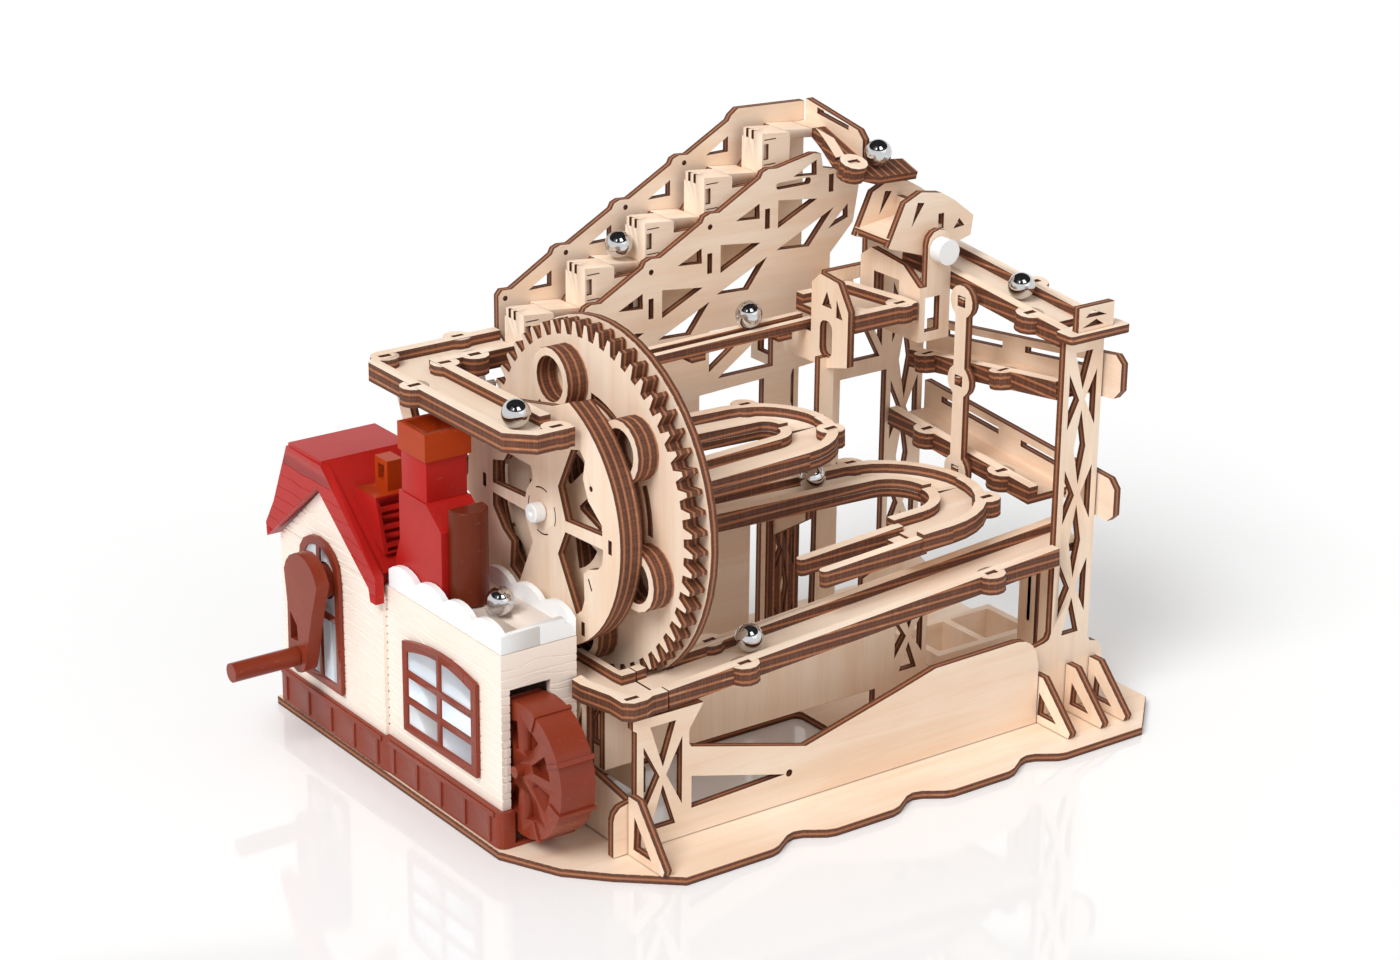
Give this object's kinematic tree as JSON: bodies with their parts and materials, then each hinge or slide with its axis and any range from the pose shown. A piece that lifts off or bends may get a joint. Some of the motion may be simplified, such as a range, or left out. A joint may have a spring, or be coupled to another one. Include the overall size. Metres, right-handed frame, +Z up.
{
  "type": "mechanical marble run",
  "caption": "Hand-cranked plywood marble run: a toothed ball wheel beside a gabled plastic house, a stair lift, a tipping bucket, sloping tracks and loops.",
  "frame": {"origin": "centre of the bounding box's footprint, on the underside of the base plate", "axes": "+X along the front panel from the crank and house to the right-hand towers, +Y from the front panel to the stairs, +Z up from the table"},
  "size_m": [0.2884, 0.1934, 0.2021],
  "materials": {
    "birch_ply": "laser-cut birch plywood, satin, dark edges",
    "wall_plastic": "matte, moulded board lines",
    "red_plastic": "satin",
    "brown_plastic": "satin",
    "white_plastic": "matte",
    "ball_chrome": "polished"
  },
  "bodies": {
    "frame": {"base_plate": "birch_ply", "front_panel": "birch_ply", "right_bracket_1": "birch_ply", "right_bracket_2": "birch_ply", "right_bracket_3": "birch_ply", "front_left_bracket": "birch_ply", "right_tower": "birch_ply", "tower_cap": "birch_ply", "front_track": "birch_ply", "corner_track": "birch_ply", "inner_panel": "birch_ply", "corner_support": "birch_ply", "storage_tray": "birch_ply", "house_walls": "wall_plastic", "house_skirt": "brown_plastic", "roof": "red_plastic", "chimney": "red_plastic", "chimney_cap": "brown_plastic", "chimney_cover": "brown_plastic", "terrace": "white_plastic", "arched_window": "brown_plastic", "front_window": "brown_plastic", "wheel_guard": "birch_ply", "upper_left_track": "birch_ply", "stair_truss_front": "birch_ply", "stair_truss_back": "birch_ply", "fixed_steps": "birch_ply", "top_platform": "birch_ply", "left_tray": "birch_ply", "gate": "birch_ply", "straight_track": "birch_ply", "upper_loop": "birch_ply", "lower_loop": "birch_ply", "loop_post": "birch_ply", "loop_panel": "birch_ply", "back_frame": "birch_ply", "ramp_upper": "birch_ply", "ramp_lower": "birch_ply", "upper_right_track": "birch_ply", "track_link": "birch_ply", "bucket_post": "birch_ply"},
    "ball_wheel": {"wheel_front_disc": "birch_ply", "wheel_pocket_plate": "birch_ply", "wheel_gear": "birch_ply", "wheel_axle": "white_plastic"},
    "crank": {"crank_arm": "brown_plastic", "crank_shaft": "birch_ply"},
    "knob": {"crank_knob": "brown_plastic"},
    "cam": {"cam_shaft": "white_plastic"},
    "stair": {"moving_steps": "birch_ply"},
    "house_wheel": {"water_wheel": "brown_plastic"},
    "bucket": {"tipping_bucket": "birch_ply"},
    "loose_ball_1": {"ball_1": "ball_chrome"},
    "loose_ball_2": {"ball_2": "ball_chrome"},
    "loose_ball_3": {"ball_3": "ball_chrome"},
    "loose_ball_4": {"ball_4": "ball_chrome"},
    "loose_ball_5": {"ball_5": "ball_chrome"},
    "loose_ball_6": {"ball_6": "ball_chrome"},
    "loose_ball_7": {"ball_7": "ball_chrome"},
    "loose_ball_8": {"ball_8": "ball_chrome"}
  },
  "joints": [
    {"name": "wheel_spin", "type": "hinge", "parent": "frame", "child": "ball_wheel", "pos_m": [-0.06085, -0.01925, 0.103], "axis": [1, 0, 0], "continuous": true},
    {"name": "crank_spin", "type": "hinge", "parent": "frame", "child": "crank", "pos_m": [-0.11385, 0.05975, 0.06], "axis": [1, 0, 0], "continuous": true},
    {"name": "knob_spin", "type": "hinge", "parent": "crank", "child": "knob", "pos_m": [-0.11915, 0.06375, 0.033], "axis": [1, 0, 0], "continuous": true},
    {"name": "cam_spin", "type": "hinge", "parent": "frame", "child": "cam", "pos_m": [-0.05585, 0.04927, 0.11202], "axis": [1, 0, 0], "continuous": true},
    {"name": "stair_lift", "type": "slide", "parent": "frame", "child": "stair", "axis": [0, 0, 1], "range_m": [-0.0124, 0]},
    {"name": "water_wheel_spin", "type": "hinge", "parent": "frame", "child": "house_wheel", "pos_m": [-0.09535, -0.05075, 0.031], "axis": [1, 0, 0], "continuous": true},
    {"name": "bucket_tip", "type": "hinge", "parent": "frame", "child": "bucket", "pos_m": [0.09915, 0.00675, 0.159], "axis": [0, 1, 0], "range_deg": [-14, 14]},
    {"name": "ball_1_roll", "type": "slide", "parent": "frame", "child": "loose_ball_1", "axis": [0, 1, 0], "range_m": [-0.006, 0.05]},
    {"name": "ball_2_roll", "type": "slide", "parent": "frame", "child": "loose_ball_2", "axis": [0.9945, 0, -0.1047], "range_m": [-0.005, 0]},
    {"name": "ball_3_roll", "type": "slide", "parent": "frame", "child": "loose_ball_3", "axis": [1, 0, 0], "range_m": [0, 0.008]},
    {"name": "ball_4_roll", "type": "slide", "parent": "frame", "child": "loose_ball_4", "axis": [0.9998, 0, 0.0175], "range_m": [0, 0.015]},
    {"name": "ball_5_roll", "type": "slide", "parent": "frame", "child": "loose_ball_5", "axis": [-0.9994, 0, 0.0349], "range_m": [0, 0.07]},
    {"name": "ball_6_roll", "type": "slide", "parent": "frame", "child": "loose_ball_6", "axis": [0, 0.9952, 0.0976], "range_m": [0, 0.022]},
    {"name": "ball_7_roll", "type": "slide", "parent": "frame", "child": "loose_ball_7", "axis": [0.9978, 0, 0.0659], "range_m": [0, 0.1]},
    {"name": "ball_8_roll", "type": "slide", "parent": "frame", "child": "loose_ball_8", "axis": [0, 1, 0], "range_m": [-0.01, 0.002]}
  ],
  "couplings": [
    {"joint": "crank_spin", "follows": "wheel_spin", "ratio": -1.8065},
    {"joint": "cam_spin", "follows": "wheel_spin", "ratio": -5.0909}
  ]
}
